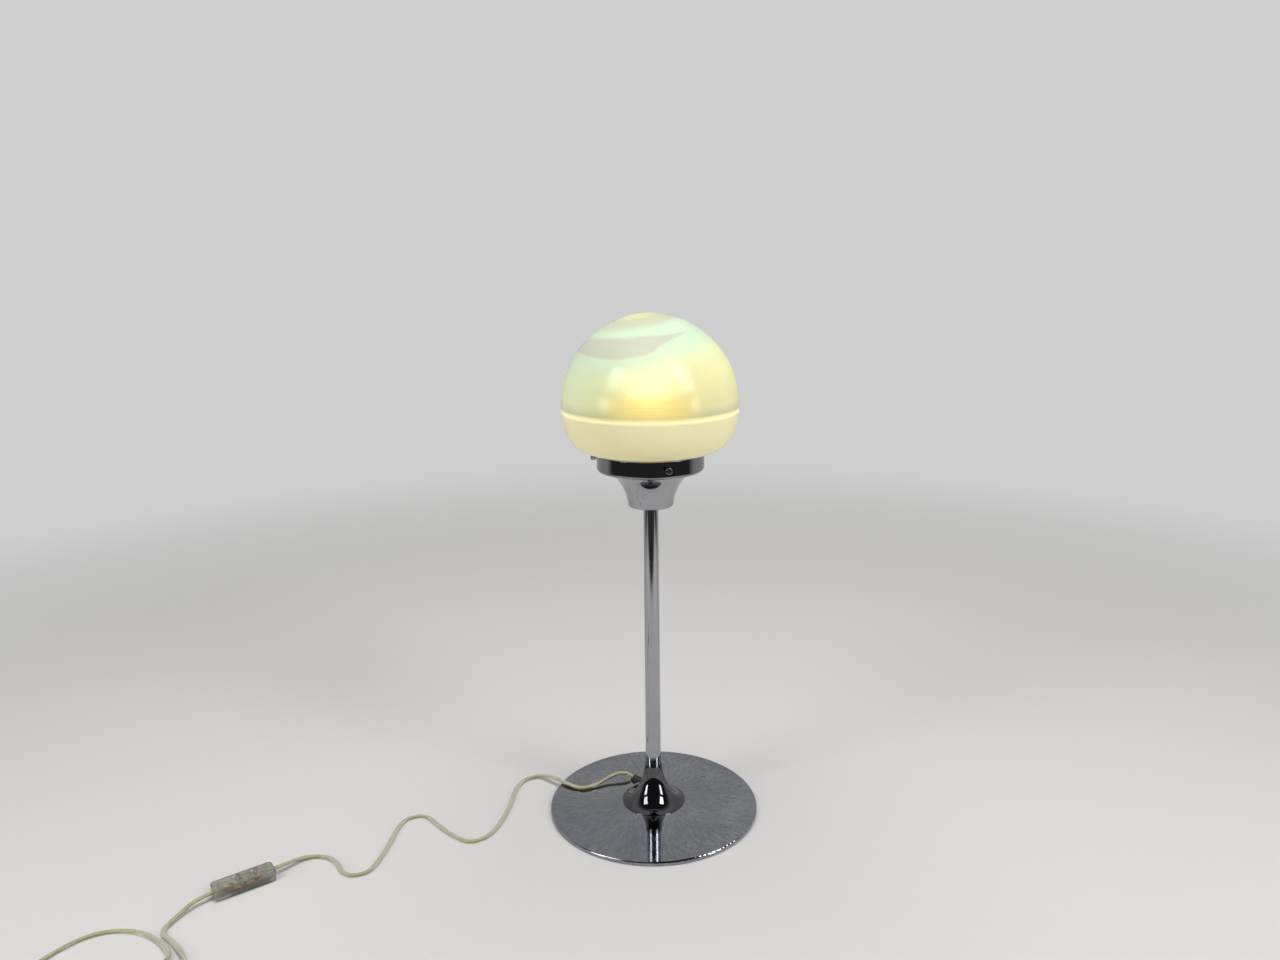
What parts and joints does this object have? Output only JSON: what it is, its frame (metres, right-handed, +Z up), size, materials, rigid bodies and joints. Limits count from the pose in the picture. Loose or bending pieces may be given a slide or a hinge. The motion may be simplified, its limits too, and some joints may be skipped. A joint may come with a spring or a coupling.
{
  "type": "table lamp",
  "caption": "Table lamp: mushroom-shaped opal glass globe in a chrome gallery on a slim stem and low round foot, with clear flex, in-line rocker switch and plug.",
  "frame": {"origin": "centre of the underside of the felt under the foot", "axes": "+Z up along the stem, -Y towards the front that the picture shows, flex leaves towards -X"},
  "size_m": [0.7231, 0.4882, 0.5943],
  "materials": {
    "chrome": "mirror",
    "brushed_chrome": "satin",
    "steel": "satin",
    "cast_iron": "rough",
    "felt": "matte",
    "rubber": "matte",
    "brass": "satin",
    "clear_pvc": "gloss",
    "clear_plastic": "gloss",
    "white_plastic": "satin",
    "ceramic": "glazed",
    "core": "matte",
    "opal_glass": "gloss",
    "lamp_glass": "frosted",
    "aluminium": "satin"
  },
  "bodies": {
    "lamp_stand": {"base_shell": "brushed_chrome", "base_ballast": "cast_iron", "base_felt": "felt", "base_nut": "steel", "base_washer": "steel", "base_stud": "steel", "stem_tube": "chrome", "stem_foot_bush": "steel", "stem_top_bush": "steel", "bell_cover": "chrome", "cord_grommet": "rubber", "lead_anchor": "white_plastic", "anchor_screws": "steel", "inner_lead": "core", "gallery_cup": "chrome", "top_nipple": "steel", "cup_nut": "steel", "gallery_ring": "chrome", "gallery_washer": "steel", "gallery_nut": "steel", "screw_bushes": "brass", "holder_cap": "white_plastic", "holder_sleeve": "white_plastic", "holder_insert": "ceramic", "holder_screw_shell": "aluminium", "holder_contacts": "brass", "holder_terminals": "brass", "cord_lamp_run": "clear_pvc", "switch_base": "clear_plastic", "switch_cover": "clear_plastic", "switch_pivot": "steel", "switch_contacts": "brass", "switch_core": "core", "switch_clamps": "clear_plastic", "switch_screws": "steel", "cord_mains_run": "clear_pvc", "cord_coil": "clear_pvc", "cord_tie": "clear_plastic", "cord_tail": "clear_pvc", "plug_body": "clear_pvc", "plug_pins": "steel", "plug_sleeves": "rubber"},
    "globe": {"glass_globe": "opal_glass", "globe_neck": "opal_glass"},
    "bulb": {"bulb_tip": "steel", "bulb_insulator": "rubber", "bulb_cap": "aluminium", "bulb_glass": "lamp_glass"},
    "screw_front": {"thumbscrew_front": "chrome"},
    "screw_rear": {"thumbscrew_rear": "chrome"},
    "screw_left": {"thumbscrew_left": "chrome"},
    "rocker": {"switch_rocker": "clear_plastic"}
  },
  "joints": [
    {"name": "globe_lift", "type": "slide", "parent": "lamp_stand", "child": "globe", "axis": [0, 0, 1], "range_m": [0, 0.2]},
    {"name": "bulb_unscrew", "type": "slide", "parent": "lamp_stand", "child": "bulb", "axis": [0, 0, 1], "range_m": [0, 0.024]},
    {"name": "thumbscrew_front_back_off", "type": "slide", "parent": "lamp_stand", "child": "screw_front", "axis": [0.2874, -0.9578, 0], "range_m": [0, 0.0035]},
    {"name": "thumbscrew_rear_back_off", "type": "slide", "parent": "lamp_stand", "child": "screw_rear", "axis": [0.6858, 0.7278, 0], "range_m": [0, 0.0035]},
    {"name": "thumbscrew_left_back_off", "type": "slide", "parent": "lamp_stand", "child": "screw_left", "axis": [-0.9732, 0.23, 0], "range_m": [0, 0.0035]},
    {"name": "rocker_tilt", "type": "hinge", "parent": "lamp_stand", "child": "rocker", "pos_m": [-0.4399, -0.1566, 0.009], "axis": [-0.6018, 0.7986, 0], "range_deg": [-16, 0]}
  ]
}
